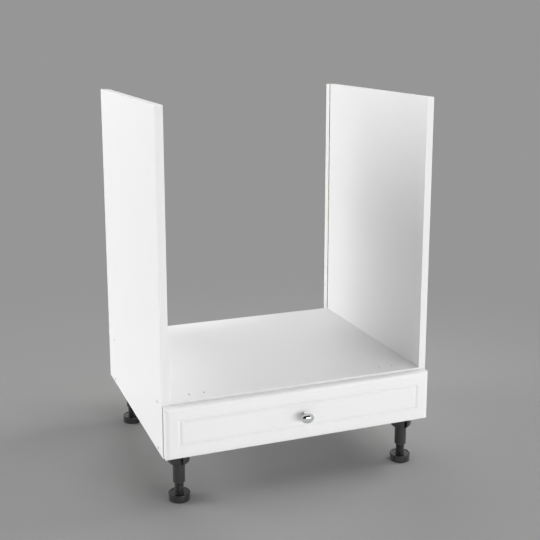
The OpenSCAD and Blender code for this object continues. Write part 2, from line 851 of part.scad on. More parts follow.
module box_screw_places() {
    for (y = [y_box + box_t / 2, y_box + rail_len - box_t / 2], z = screw_rows)
        translate([box_w / 2, y, z]) rotate([0, 90, 0]) children();
}

module box_screw_holes() {
    box_screw_places() sunk_screw(box_screw_d, box_screw_head_d, box_screw_len, drill_gap);
}

// Room for the bottom sheet, grooved into all four boards of the box
module sheet_groove() {
    reach = box_inner_w / 2 + sheet_groove_depth;
    translate([-reach, y_box + box_t - sheet_groove_depth, box_z + sheet_up])
        cube([2 * reach, rail_len - 2 * box_t + 2 * sheet_groove_depth, sheet_t + sheet_play]);
}

module under_screw_places() {
    for (y = under_screw_ys)
        translate([box_w / 2 - under_w / 2, y_box + y, box_z - rail_t]) children();
}

module drawer_side(side) {
    color(white_board) on_side(side) difference() {
        translate([box_w / 2 - box_t, y_box, box_z]) cube([box_t, rail_len, box_h]);
        sheet_groove();
        box_screw_holes();
        under_screw_places() cylinder(d = under_screw_d + 2 * drill_gap,
            h = rail_t + under_screw_len + drill_gap);
    }
}

module cross_board(y) {
    color(white_board) difference() {
        translate([-box_inner_w / 2, y, box_z]) cube([box_inner_w, box_t, box_h]);
        sheet_groove();
        both_sides() box_screw_holes();
        fix_screw_holes();
        knob_screw_hole();
    }
}

module drawer_bottom() {
    reach = box_inner_w / 2 + sheet_groove_depth - sheet_fit;
    edge = box_t - sheet_groove_depth + sheet_fit;
    color(white_sheet) translate([-reach, y_box + edge, box_z + sheet_up])
        cube([2 * reach, rail_len - 2 * edge, sheet_t]);
}

module drawer_box_screws() {
    color(bright_steel) both_sides() box_screw_places() difference() {
        sunk_screw(box_screw_d, box_screw_head_d, box_screw_len);
        translate([0, 0, -socket_depth]) cylinder(d = socket_d, h = socket_depth + cut, $fn = 6);
    }
}

module front_fixing_screws() {
    color(bright_steel) fix_screw_places() difference() {
        sunk_screw(box_screw_d, box_screw_head_d, fix_screw_len);
        translate([0, 0, -socket_depth]) cylinder(d = socket_d, h = socket_depth + cut, $fn = 6);
    }
}

// Section of the drawer rail: under flange, folded sharply round the drawer side's edge,
// web, and running flange. Seen from the drawer side's outer face, x grows towards the side
// panel and y from the under flange.
module drawer_rail_section() {
    translate([-under_w, 0]) square([under_w, rail_t]);
    intersection() {
        square(rail_t);
        translate([0, rail_t]) circle(rail_t);
    }
    translate([0, rail_t - eps]) square([rail_t, web_h - bend_out - rail_t + eps]);
    translate([0, web_h]) bent_flange(rail_space - run_edge);
}

// The running flange is cut back at the rear, where it would meet the drawer's roller.
module drawer_rail_shape() {
    difference() {
        translate([0, rail_len, 0]) rotate([90, 0, 0])
            linear_extrude(rail_len) drawer_rail_section();
        translate([-cut, rail_len - cut_len, web_h - bend_out])
            cube([rail_space + cut, cut_len + cut, bend_out + cut]);
    }
}

module drawer_rail(side) {
    color(white_steel) on_side(side) difference() {
        translate([box_w / 2, y_box, box_z - rail_t]) drawer_rail_shape();
        under_screw_places() translate([0, 0, -cut])
            cylinder(d = under_screw_d + 2 * drill_gap, h = rail_t + 2 * cut);
        translate([box_w / 2, drawer_roller_y, rail_z + rear_roller_up])
            along_x(pin_d + 2 * drill_gap, -cut, rail_t + 2 * cut);
    }
}

module drawer_rail_screws() {
    color(bright_steel) both_sides() under_screw_places() mirror([0, 0, 1])
        flat_screw(under_screw_d, rail_t + under_screw_len, under_screw_head_d, under_screw_head_t);
}

// Half section of the knob's foot and stem: x is the radius, y the distance from the drawer front
module knob_stem_section() {
    square([knob_foot_d / 2, knob_foot_t]);
    square([knob_stem_d / 2, knob_rim_y]);
    // Hollow fillet between the foot and the stem
    fillet = (knob_foot_d - knob_stem_d) / 2;
    translate([0, knob_foot_t]) difference() {
        square([knob_foot_d / 2, fillet]);
        translate([knob_foot_d / 2, fillet]) circle(fillet);
    }
}

// Radius of the dome that meets the rim smoothly, where the head is so wide
function dome_r(width) =
    (pow(width / 2 - knob_rim_r, 2) + pow(knob_rise, 2) - pow(knob_rim_r, 2))
    / (2 * (knob_rise - knob_rim_r));

// Height above the widest line at which that dome starts
function dome_start(width) =
    knob_rim_r * (dome_r(width) - knob_rise) / (dome_r(width) - knob_rim_r);

// Half the head's width at a height above its widest line, first the rim and then the dome
function head_half(width, height) =
    height < dome_start(width)
    ? width / 2 - knob_rim_r + sqrt(pow(knob_rim_r, 2) - pow(height, 2))
    : sqrt(max(0, pow(dome_r(width), 2) - pow(height + dome_r(width) - knob_rise, 2)));

module head_slice(height) {
    translate([0, 0, knob_rim_y + height - eps]) linear_extrude(eps)
        scale([max(crown_flat, head_half(knob_head_w, height)),
            max(crown_flat, head_half(knob_head_h, height))]) circle(1, $fn = head_points);
}

// The oval head with its rounded rim, low dome and cone-shaped underside
module knob_head() {
    hull() {
        translate([0, 0, knob_neck]) linear_extrude(eps)
            circle(d = knob_stem_d - 2 * neck_sink, $fn = head_points);
        for (angle = [-90 + rim_step:rim_step:0]) head_slice(knob_rim_r * sin(angle));
        for (angle = [dome_step:dome_step:90]) head_slice(knob_rise * sin(angle));
    }
}

module knob() {
    color(chrome_grey) translate([0, y_face, knob_z]) rotate([90, 0, 0]) difference() {
        union() {
            rotate_extrude() knob_stem_section();
            knob_head();
        }
        translate([0, 0, -cut])
            cylinder(d = knob_screw_d + 2 * drill_gap, h = knob_hole_depth + cut);
    }
}

module knob_screw() {
    color(bright_steel) translate([0, y_box + box_t, knob_z]) rotate([-90, 0, 0])
        flat_screw(knob_screw_d, front_t + box_t + knob_screw_grip,
            knob_screw_head_d, knob_screw_head_h);
}

side_panel(-1);  // side_panel_left
side_panel(1);  // side_panel_right
oven_shelf();
bottom_panel();
back_strip();
side_edge_bands();
cross_band(z_shelf);  // shelf_edge_band
cross_band(leg_h);  // bottom_edge_band
joint_screws();
joint_dowels();
back_strip_screws();
leg_at(-1, leg_front_y);  // leg_front_left
leg_at(1, leg_front_y);  // leg_front_right
leg_at(-1, leg_rear_y);  // leg_rear_left
leg_at(1, leg_rear_y);  // leg_rear_right
leg_screws();
foot_at(-1, leg_front_y);  // foot_front_left
foot_at(1, leg_front_y);  // foot_front_right
foot_at(-1, leg_rear_y);  // foot_rear_left
foot_at(1, leg_rear_y);  // foot_rear_right
cabinet_rail(-1);  // cabinet_rail_left
cabinet_rail(1);  // cabinet_rail_right
cabinet_rail_screws();
cabinet_roller_pins();
cabinet_roller(-1);  // cabinet_roller_left
cabinet_roller(1);  // cabinet_roller_right
drawer_front();
cross_board(y_box);  // drawer_inner_front
drawer_side(-1);  // drawer_side_left
drawer_side(1);  // drawer_side_right
cross_board(y_box + rail_len - box_t);  // drawer_back
drawer_bottom();
drawer_box_screws();
front_fixing_screws();
drawer_rail(-1);  // drawer_rail_left
drawer_rail(1);  // drawer_rail_right
drawer_rail_screws();
drawer_roller_pins();
drawer_roller(-1);  // drawer_roller_left
drawer_roller(1);  // drawer_roller_right
knob();
knob_screw();
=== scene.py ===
# %% [markdown]
# # A white oven base cabinet, dressed in Blender
# The cabinet is already built to size: two side panels, an oven shelf, a drawer on roller
# runners and four screw-adjusted legs. This script loads that model as a fixed frame and
# gives each part its real finish. A few parts get a finer mesh, where a smooth curve, a
# thread or a moulded edge shows. The first step loads the frame and keeps its size, because
# nothing that is added may stand outside that box.

# %% Load the cabinet
import json
import math

import bmesh
import bpy
from mathutils import Matrix, Vector

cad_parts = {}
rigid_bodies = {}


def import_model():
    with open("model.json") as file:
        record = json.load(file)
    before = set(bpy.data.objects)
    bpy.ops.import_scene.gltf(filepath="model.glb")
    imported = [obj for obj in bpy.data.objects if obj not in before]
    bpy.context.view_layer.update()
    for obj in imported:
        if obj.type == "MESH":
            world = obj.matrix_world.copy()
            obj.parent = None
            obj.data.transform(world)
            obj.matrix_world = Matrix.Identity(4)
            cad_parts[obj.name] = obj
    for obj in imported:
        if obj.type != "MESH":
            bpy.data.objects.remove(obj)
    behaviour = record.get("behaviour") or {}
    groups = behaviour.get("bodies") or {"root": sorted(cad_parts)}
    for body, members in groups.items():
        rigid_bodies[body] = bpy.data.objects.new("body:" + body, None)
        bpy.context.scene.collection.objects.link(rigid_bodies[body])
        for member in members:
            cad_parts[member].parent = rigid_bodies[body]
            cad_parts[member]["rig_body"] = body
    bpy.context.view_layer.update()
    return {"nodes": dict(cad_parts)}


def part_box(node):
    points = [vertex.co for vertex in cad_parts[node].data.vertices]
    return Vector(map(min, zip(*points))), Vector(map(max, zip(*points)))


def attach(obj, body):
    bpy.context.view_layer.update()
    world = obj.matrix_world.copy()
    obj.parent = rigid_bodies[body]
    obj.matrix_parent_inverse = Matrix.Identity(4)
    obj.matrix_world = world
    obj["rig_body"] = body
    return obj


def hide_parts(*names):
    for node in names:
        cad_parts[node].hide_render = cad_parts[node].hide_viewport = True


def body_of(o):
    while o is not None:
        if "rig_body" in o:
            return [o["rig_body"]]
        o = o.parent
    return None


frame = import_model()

nodes = frame["nodes"]
MM = 0.001

# %% [markdown]
# ## The camera
# The picture was taken from the front left, a little above the cabinet, with a long lens. A
# few numbers describe such a view: where the camera stands, how far it turns to the right,
# how far it looks down, and its focal length in pixels of a picture 540 pixels wide. A small
# shift moves the picture up, so that the camera has to look down less and the upright edges
# stay nearly parallel.

# %% Camera
PICTURE_PX = 540
FOCAL_PX = 952.7
SENSOR_MM = 36.0
CAMERA_AT = Vector((-0.7413, -1.9778, 0.9656))
TURN_RIGHT = math.radians(21.07)
LOOK_DOWN = math.radians(11.6)
SHIFT = 0.09

camera_data = bpy.data.cameras.new("camera")
camera_data.sensor_width = SENSOR_MM
camera_data.lens = FOCAL_PX / PICTURE_PX * SENSOR_MM
camera_data.shift_y = -SHIFT
camera = bpy.data.objects.new("camera", camera_data)
camera.location = CAMERA_AT
camera.rotation_euler = (math.pi / 2 - LOOK_DOWN, 0, -TURN_RIGHT)
bpy.context.collection.objects.link(camera)
bpy.context.scene.camera = camera
print("lens", round(camera_data.lens, 2), "mm")

# %% [markdown]
# ## Writing a finish
# A finish is a small network of shader nodes. Short helpers keep the networks readable. One
# makes a material and hands back its main shader, one sets and joins a node's inputs, and one
# adds a node. The others make patterns and turn them into colours, gloss and relief. Patterns
# read Object coordinates, which are metres here, so a noise scale of 1000 gives grains about
# a millimetre wide.

# %% Helpers for materials
def finish(name):
    """Returns a new material, its node tree and its main shader."""
    material = bpy.data.materials.new(name)
    material.use_nodes = True
    tree = material.node_tree
    return material, tree, tree.nodes["Principled BSDF"]


def feed(tree, node, inputs):
    """Sets a node's inputs: a socket's name or index maps to a value or another socket."""
    for key, value in inputs.items():
        if isinstance(value, bpy.types.NodeSocket):
            tree.links.new(value, node.inputs[key])
        else:
            node.inputs[key].default_value = value


def add(tree, kind, inputs=None, **settings):
    """Adds a node with these inputs and settings, and returns it."""
    made = tree.nodes.new(kind)
    for key, value in settings.items():
        setattr(made, key, value)
    feed(tree, made, inputs or {})
    return made


def position(tree, squeeze=None):
    """Where a point lies, in metres. A squeeze makes a pattern that much finer on each axis."""
    place = add(tree, "ShaderNodeTexCoord").outputs["Object"]
    if squeeze:
        place = add(tree, "ShaderNodeMapping", {"Vector": place, "Scale": squeeze}).outputs[0]
    return place


def noise(tree, per_metre, detail=2, roughness=0.5, squeeze=None):
    """A noise pattern from 0 to 1 with so many waves to the metre."""
    return add(tree, "ShaderNodeTexNoise", {
        "Vector": position(tree, squeeze), "Scale": per_metre, "Detail": detail,
        "Roughness": roughness,
    }).outputs["Fac"]


def between(tree, pattern, low, high, start=0.0, end=1.0):
    """Turns a pattern's values from start to end into low to high."""
    return add(tree, "ShaderNodeMapRange", {
        "Value": pattern, "From Min": start, "From Max": end, "To Min": low, "To Max": high,
    }).outputs["Result"]


def mixed(tree, share, first, second):
    """Mixes two colours, which are sockets or four numbers: the first at 0, the second at 1."""
    return add(tree, "ShaderNodeMix", {
        "Factor": share, "A": first, "B": second,
    }, data_type="RGBA").outputs["Result"]


def tint(tree, pattern, dark, light):
    """Mixes two linear colours by a pattern."""
    return mixed(tree, pattern, (*dark, 1), (*light, 1))


def relief(tree, shader, height, depth):
    """Joins a bump of that depth in metres to the shader."""
    bump = add(tree, "ShaderNodeBump", {"Height": height, "Distance": depth, "Strength": 1.0})
    feed(tree, shader, {"Normal": bump.outputs["Normal"]})


# %% [markdown]
# ## White melamine board
# The carcass is chipboard with a white melamine face. The face is pressed against a plate
# with a fine pearl texture, so it has soft bumps a millimetre wide and a satin gloss that
# varies a little from place to place. The paper under the resin is white with a very faint
# cloudiness.

# %% Melamine
WHITE_DARK = (0.865, 0.866, 0.866)
WHITE_LIGHT = (0.885, 0.885, 0.885)
CLOUD_PER_M = 9
SATIN_ROUGH = (0.36, 0.44)
SATIN_PER_M = 60
PEARL_PER_M = 700
PEARL_DEPTH = 0.012 * MM
RESIN_SHINE = 0.45


def pearl_white(tree, shader):
    """Gives the shader the pressed face's gloss and relief, and returns its cloudy white."""
    relief(tree, shader, noise(tree, PEARL_PER_M, detail=1), PEARL_DEPTH)
    feed(tree, shader, {
        "Roughness": between(tree, noise(tree, SATIN_PER_M, detail=3), *SATIN_ROUGH),
        "Specular IOR Level": RESIN_SHINE,
    })
    return tint(tree, noise(tree, CLOUD_PER_M, detail=3), WHITE_DARK, WHITE_LIGHT)


melamine, tree, shader = finish("melamine_white")
feed(tree, shader, {"Base Color": pearl_white(tree, shader)})
print("melamine, pearls", round(1000 / PEARL_PER_M, 2), "mm wide")

# %% [markdown]
# ## Raw chipboard edges
# A maker bands only the edges that show from the front. The rear edges of the side panels,
# their undersides and the groove for the back stay raw: pressed wood chips in several shades
# of straw. The side panels' finish picks the raw pattern by place. A point lies on such an
# edge when it is between the panel's two faces and either behind the groove's front wall or
# at the underside.

# %% Side panels
panel_low, panel_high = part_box("side_panel_right")
strip_low, strip_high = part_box("back_strip")
# How deep the paper or the lacquer of a face goes.
FACE_THICK = 0.2 * MM
STRAW_DARK = (0.30, 0.215, 0.125)
STRAW_LIGHT = (0.62, 0.50, 0.34)
CHIP_PER_M = 420
CHIP_SQUEEZE = (2.2, 1, 0.45)


def compare(tree, value, kind, limit):
    """A mask: 1 where the value is GREATER_THAN or LESS_THAN the limit, and 0 elsewhere."""
    return add(tree, "ShaderNodeMath", {0: value, 1: limit}, operation=kind).outputs[0]


def joined(tree, kind, one, other):
    """Joins two masks: MULTIPLY keeps what lies in both, ADD what lies in either."""
    return add(tree, "ShaderNodeMath", {
        0: one, 1: other,
    }, operation=kind, use_clamp=True).outputs[0]


def chips(tree):
    """Colour of sawn chipboard: flat chips that lie along the board, each in its own shade."""
    cells = add(tree, "ShaderNodeTexVoronoi", {
        "Vector": position(tree, CHIP_SQUEEZE), "Scale": CHIP_PER_M,
    })
    shade = add(tree, "ShaderNodeSeparateColor", {"Color": cells.outputs["Color"]})
    return tint(tree, shade.outputs[0], STRAW_DARK, STRAW_LIGHT)


melamine_side, tree, shader = finish("melamine_side_panel")
axes = add(tree, "ShaderNodeSeparateXYZ", {0: position(tree)}).outputs
side = add(tree, "ShaderNodeMath", {0: axes["X"]}, operation="ABSOLUTE").outputs[0]
inside = joined(
    tree, "MULTIPLY",
    compare(tree, side, "GREATER_THAN", panel_low.x + FACE_THICK),
    compare(tree, side, "LESS_THAN", panel_high.x - FACE_THICK),
)
rear = compare(tree, axes["Y"], "GREATER_THAN", strip_low.y - FACE_THICK)
below = compare(tree, axes["Z"], "LESS_THAN", panel_low.z + FACE_THICK)
raw = joined(tree, "MULTIPLY", inside, joined(tree, "ADD", rear, below))
colour = mixed(tree, raw, pearl_white(tree, shader), chips(tree))
feed(tree, shader, {"Base Color": colour})
print("raw behind y", round(strip_low.y, 4), "m")

# %% [markdown]
# ## Edge bands and drawer foil
# The bands are extruded plastic, smoother than the board. The drawer front is wrapped in a
# silky foil, whose faint unevenness shows only in the gloss. Both are smooth white surfaces
# that differ in a few numbers. So are the runners' powder coat and the rollers' nylon
# further down, and one function makes them all.

# %% Bands and foil
UNEVEN_PER_M = 90
UNEVEN = 0.05


def plain_white(name, light, dark, rough, grain_per_m, depth, cloud_per_m=14, shine=0.5):
    """A smooth white surface with a faint cloud, uneven gloss and a fine relief."""
    material, tree, shader = finish(name)
    relief(tree, shader, noise(tree, grain_per_m), depth)
    patches = noise(tree, UNEVEN_PER_M, detail=3)
    feed(tree, shader, {
        "Base Color": tint(tree, noise(tree, cloud_per_m, detail=3), dark, light),
        "Roughness": between(tree, patches, rough - UNEVEN, rough + UNEVEN),
        "Specular IOR Level": shine,
    })
    return material


edge_band = plain_white(
    "edge_band_plastic", light=(0.86, 0.86, 0.86), dark=(0.845, 0.845, 0.845),
    rough=0.50, grain_per_m=500, depth=0.008 * MM, shine=0.3,
)
foil = plain_white(
    "drawer_front_foil", light=(0.875, 0.875, 0.874), dark=(0.855, 0.856, 0.856),
    rough=0.38, grain_per_m=260, depth=0.012 * MM,
)
print("made", edge_band.name, "and", foil.name)

# %% [markdown]
# ## Back strip and drawer bottom
# Both are thin fibreboard, lacquered white on the side that shows and raw brown on the other.
# The brown side is picked by place again. It is felted from short fibres, so its noise is
# fine and rough, and it hardly shines.

# %% Fibreboard
LACQUER_DARK = (0.83, 0.83, 0.825)
LACQUER_LIGHT = (0.86, 0.86, 0.855)
LACQUER_PER_M = 14
LACQUER_ROUGH = 0.35
FIBRE_DARK = (0.20, 0.125, 0.07)
FIBRE_LIGHT = (0.36, 0.24, 0.145)
FIBRE_PER_M = 1400
FIBRE_ROUGH = 0.75
FELT_PER_M = 900
FELT_DEPTH = 0.02 * MM


def fibreboard(name, back_axis, sense, back_side):
    """White lacquer in front, brown fibres where the axis's value passes back_side."""
    material, tree, shader = finish(name)
    axes = add(tree, "ShaderNodeSeparateXYZ", {0: position(tree)}).outputs
    behind = compare(tree, axes[back_axis], sense, back_side)
    cloud = noise(tree, LACQUER_PER_M, detail=3)
    fibres = noise(tree, FIBRE_PER_M, detail=4, roughness=0.7)
    lacquer = tint(tree, cloud, LACQUER_DARK, LACQUER_LIGHT)
    brown = tint(tree, fibres, FIBRE_DARK, FIBRE_LIGHT)
    relief(tree, shader, noise(tree, FELT_PER_M, detail=3), FELT_DEPTH)
    feed(tree, shader, {
        "Base Color": mixed(tree, behind, lacquer, brown),
        "Roughness": between(tree, behind, LACQUER_ROUGH, FIBRE_ROUGH),
    })
    return material


sheet_low, sheet_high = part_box("drawer_bottom")
back_sheet = fibreboard("back_strip_fibreboard", "Y", "GREATER_THAN", strip_high.y - FACE_THICK)
bottom_sheet = fibreboard("drawer_bottom_fibreboard", "Z", "LESS_THAN", sheet_low.z + FACE_THICK)
print("drawer bottom", round((sheet_high.z - sheet_low.z) / MM, 1), "mm thick")

# %% [markdown]
# ## Metals
# The runners are rolled steel sheet under a white powder coat, which has a soft orange-peel
# surface. The screws and pins are zinc plated: bright, a little blue, with gloss that varies
# from grain to grain. The knob is polished chrome, nearly a mirror, with the faintest wipe
# marks.

# %% Powder coat, zinc and chrome
ZINC_DARK = (0.38, 0.40, 0.43)
ZINC_LIGHT = (0.54, 0.55, 0.57)
ZINC_SHADES_PER_M = 500
ZINC_ROUGH = (0.26, 0.42)
ZINC_GLOSS_PER_M = 1500
ZINC_GRAIN_PER_M = 2500
ZINC_GRAIN_DEPTH = 0.006 * MM
CHROME_DARK = (0.60, 0.61, 0.62)
CHROME_LIGHT = (0.66, 0.665, 0.67)
CHROME_SHADES_PER_M = 40
CHROME_ROUGH = (0.05, 0.11)
WIPES_PER_M = 300
WIPE_SQUEEZE = (1, 1, 14)

powder_coat = plain_white(
    "runner_powder_coat", light=(0.80, 0.80, 0.785), dark=(0.775, 0.775, 0.76),
    rough=0.33, grain_per_m=650, depth=0.02 * MM, cloud_per_m=30,
)

zinc, tree, shader = finish("zinc_plated_steel")
relief(tree, shader, noise(tree, ZINC_GRAIN_PER_M), ZINC_GRAIN_DEPTH)
shades = noise(tree, ZINC_SHADES_PER_M, detail=3)
feed(tree, shader, {
    "Base Color": tint(tree, shades, ZINC_DARK, ZINC_LIGHT),
    "Roughness": between(tree, noise(tree, ZINC_GLOSS_PER_M), *ZINC_ROUGH),
    "Metallic": 1.0,
})

chrome, tree, shader = finish("polished_chrome")
wipes = noise(tree, WIPES_PER_M, detail=3, squeeze=WIPE_SQUEEZE)
feed(tree, shader, {
    "Base Color": tint(tree, noise(tree, CHROME_SHADES_PER_M), CHROME_DARK, CHROME_LIGHT),
    "Roughness": between(tree, wipes, *CHROME_ROUGH),
    "Metallic": 1.0,
})
print("roughness: zinc", ZINC_ROUGH, "chrome", CHROME_ROUGH)

# %% [markdown]
# ## Plastics and dowels
# Legs and feet are moulded in black polypropylene: satin, with a fine spark-eroded grain.
# The feet come from a smoother mould and shine more. The rollers are white nylon. The dowels
# between the boards are beech, whose grain runs along them.

# %% Plastics and beech
BLACK_DARK = (0.012, 0.012, 0.013)
BLACK_LIGHT = (0.020, 0.020, 0.021)
BLACK_SHADES_PER_M = 120
BLACK_GLOSS_PER_M = 700
SPARKS_PER_M = 2200
BEECH_DARK = (0.42, 0.26, 0.14)
BEECH_LIGHT = (0.64, 0.45, 0.27)
BEECH_GRAIN_PER_M = 1100
BEECH_GRAIN_DEPTH = 0.05 * MM
BEECH_SQUEEZE = (0.06, 1, 1)
BEECH_ROUGH = 0.6


def moulded_black(name, rough, grain_depth):
    """Black plastic with uneven gloss, and the grain that its mould left."""
    material, tree, shader = finish(name)
    relief(tree, shader, noise(tree, SPARKS_PER_M), grain_depth)
    shades = noise(tree, BLACK_SHADES_PER_M, detail=3)
    patches = noise(tree, BLACK_GLOSS_PER_M)
    feed(tree, shader, {
        "Base Color": tint(tree, shades, BLACK_DARK, BLACK_LIGHT),
        "Roughness": between(tree, patches, rough - UNEVEN, rough + UNEVEN),
    })
    return material


leg_black = moulded_black("leg_black_satin", rough=0.40, grain_depth=0.015 * MM)
foot_black = moulded_black("foot_black_gloss", rough=0.13, grain_depth=0.003 * MM)
nylon = plain_white(
    "roller_nylon", light=(0.84, 0.84, 0.80), dark=(0.80, 0.80, 0.76),
    rough=0.42, grain_per_m=900, depth=0.01 * MM, cloud_per_m=200,
)

beech, tree, shader = finish("dowel_beech")
grain = noise(tree, BEECH_GRAIN_PER_M, detail=5, squeeze=BEECH_SQUEEZE)
relief(tree, shader, grain, BEECH_GRAIN_DEPTH)
feed(tree, shader, {
    "Base Color": tint(tree, grain, BEECH_DARK, BEECH_LIGHT), "Roughness": BEECH_ROUGH,
})
print("beech grain", round(1000 / BEECH_GRAIN_PER_M, 1), "mm wide")

# %% [markdown]
# ## Dressing the parts
# Every part of the cabinet takes the finish of its slot in the record. The side panels and
# the drawer's bottom sheet have their own version of it, because their raw edges and brown
# sides lie elsewhere.

# %% Finishes on the parts
SLOT_FINISH = {
    "melamine": melamine, "edge_band": edge_band, "foil_front": foil,
    "white_sheet": back_sheet, "beech": beech, "zinc_steel": zinc,
    "white_steel": powder_coat, "chrome": chrome, "leg_plastic": leg_black,
    "roller_plastic": nylon,
}
OWN_FINISH = {
    "side_panel_left": melamine_side, "side_panel_right": melamine_side,
    "drawer_bottom": bottom_sheet,
}
slot_of = {}
for name, part in nodes.items():
    slot_of[name] = part.material_slots[0].material.name
    for place in part.material_slots:
        place.material = OWN_FINISH.get(name) or SLOT_FINISH[slot_of[name]]
print("dressed", len(nodes), "parts")

# %% [markdown]
# ## Shapes from rings
# Several fine parts are easiest to think of as a stack of closed rings, like the hoops of a
# barrel. The milled drawer front is a stack of rectangles; the knob, the feet and the screws
# are stacks of circles. One helper skins such a stack. Each ring has the same number of
# points, a ring of no width becomes a tip, and both ends are closed, so the result is
# watertight. It is shaded smooth except where two faces meet at more than a given angle.

# %% Rings
CRISP = math.radians(32)
SAME_POINT = 1e-7


def skin(name, rings, crisp_columns=False):
    """Joins rings of points into a closed mesh. Crisp columns keep the lines across the rings."""
    shape = bmesh.new()
    loops = [[shape.verts.new(point) for point in ring] for ring in rings]
    for low, high in zip(loops, loops[1:]):
        for here in range(len(low)):
            shape.faces.new((low[here - 1], low[here], high[here], high[here - 1]))
            edge = shape.edges.get((low[here], high[here]))
            edge.smooth = not crisp_columns
    shape.faces.new(loops[0])
    shape.faces.new(loops[-1])
    bmesh.ops.remove_doubles(shape, verts=shape.verts, dist=SAME_POINT)
    bmesh.ops.recalc_face_normals(shape, faces=shape.faces)
    for face in shape.faces:
        face.smooth = True
    for edge in shape.edges:
        if edge.calc_face_angle(0) > CRISP:
            edge.smooth = False
    mesh = bpy.data.meshes.new(name)
    shape.to_mesh(mesh)
    shape.free()
    return mesh


# %% [markdown]
# ## Rounded corners
# A stack's outline is drawn as a section: a row of corners, each with the radius that a
# cutter or a mould gives it. A second helper replaces every corner by a short arc that runs
# into the lines on both sides.

# %% Softened sections
ARC_STEPS = 6


def softened(corners):
    """A section whose corners (x, y, radius) are rounded. Its two ends stay as they are."""
    points = [corners[0][:2]]
    for before, corner, after in zip(corners, corners[1:], corners[2:]):
        here, radius = Vector(corner[:2]), corner[2]
        back = (Vector(before[:2]) - here).normalized()
        ahead = (Vector(after[:2]) - here).normalized()
        half = back.angle(ahead) / 2
        centre = here + (back + ahead).normalized() * radius / math.sin(half)
        first = here + back * radius / math.tan(half) - centre
        last = here + ahead * radius / math.tan(half) - centre
        turn = math.pi - 2 * half
        for k in range(ARC_STEPS + 1):
            share = k / ARC_STEPS
            swung = first * math.sin((1 - share) * turn) + last * math.sin(share * turn)
            points.append(tuple(centre + swung / math.sin(turn)))
    return points + [corners[-1][:2]]


# %% [markdown]
# ## Taking a part's place
# A finer mesh stands in for a plain part. It moves with the same body, takes its finish from
# the same slot, and hides the plain part that it replaces.

# %% Stand-ins
def stand_in(name, mesh, node, material=None):
    """Shows a mesh in place of a CAD node, on the same body and with the same finish."""
    made = bpy.data.objects.new(name, mesh)
    bpy.context.collection.objects.link(made)
    mesh.materials.clear()
    mesh.materials.append(material or SLOT_FINISH[slot_of[node]])
    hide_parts(node)
    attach(made, body_of(nodes[node])[0])
    print(name, len(mesh.polygons), "faces")


# %% [markdown]
# ## The milled drawer front
# The real front is a fibreboard panel that was milled and then wrapped in foil. One cutter
# went round its edge and left a quarter round with a small step; another cut a V groove all
# the way round, mitred at the corners. Foil can't follow a sharp arris, so every edge ends up
# slightly soft. A sweep along a rectangle would squeeze the section at the mitres. Nested
# rectangles don't: each point of the section is a rectangle that lies that far in from the
# panel's edge and that far out from its back.

# %% Drawer front
EDGE_ROUND = 5.9
STEP_UP = 0.8
STEP_IN = 6.5
STEP_FOOT_SOFT = 0.2
STEP_TOP_SOFT = 0.35
GROOVE_LINE = 30.0
GROOVE_HALF = 4.0
GROOVE_DEPTH = 2.5
GROOVE_SOFT = 0.9

front_low, front_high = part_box("drawer_front")
front_thick = (front_high.y - front_low.y) / MM
# Each corner: how far in from the edge, how far out from the back, and how round it is.
front_section = softened([
    (0, 0, 0),
    (0, front_thick - STEP_UP, EDGE_ROUND),
    (STEP_IN, front_thick - STEP_UP, STEP_FOOT_SOFT),
    (STEP_IN, front_thick, STEP_TOP_SOFT),
    (GROOVE_LINE - GROOVE_HALF, front_thick, GROOVE_SOFT),
    (GROOVE_LINE, front_thick - GROOVE_DEPTH, GROOVE_SOFT),
    (GROOVE_LINE + GROOVE_HALF, front_thick, GROOVE_SOFT),
    (GROOVE_LINE + 2 * GROOVE_HALF, front_thick, 0),
])


def front_ring(inset, out):
    """The rectangle that lies so far in from the panel's edge and out from its back, in mm."""
    left, right = front_low.x + inset * MM, front_high.x - inset * MM
    low, high = front_low.z + inset * MM, front_high.z - inset * MM
    y = front_high.y - out * MM
    return [(left, y, low), (right, y, low), (right, y, high), (left, y, high)]


front_rings = [front_ring(*point) for point in front_section]
front_mesh = skin("milled_front", front_rings, crisp_columns=True)
stand_in("milled_front", front_mesh, "drawer_front")

# %% [markdown]
# ## The knob
# The knob has a round foot with a hollow fillet and a slim stem that flares into an oval head
# with a full rim and a low dome. Its section is drawn twice, once as wide as the head and once
# as high. Each pair of points gives the two half widths of one ring, round where they are
# equal and oval where they differ. A polished part shows every flat facet, so it gets many
# points round, and its arcs run into each other without a corner.

# %% Knob
KNOB_FOOT_RADIUS = 6.25
KNOB_FOOT_HEIGHT = 2.0
KNOB_FOOT_RISE = 0.3
KNOB_STEM_RADIUS = 4.5
KNOB_STEM_TOP = 12.0
RIM_HEIGHT = 21.5
RIM_RADIUS = 2.8
RIM_START = -50
RIM_STEPS = 20
DOME_STEPS = 16
KNOB_POINTS = 128

knob_low, knob_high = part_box("knob")
knob_reach = (knob_high.y - knob_low.y) / MM


def arc(centre, radius, start, end, steps):
    """Points on an arc of a section, from one angle in degrees to another."""
    angles = [math.radians(start + (end - start) * k / steps) for k in range(steps + 1)]
    return [
        (centre[0] + radius * math.cos(angle), centre[1] + radius * math.sin(angle))
        for angle in angles
    ]


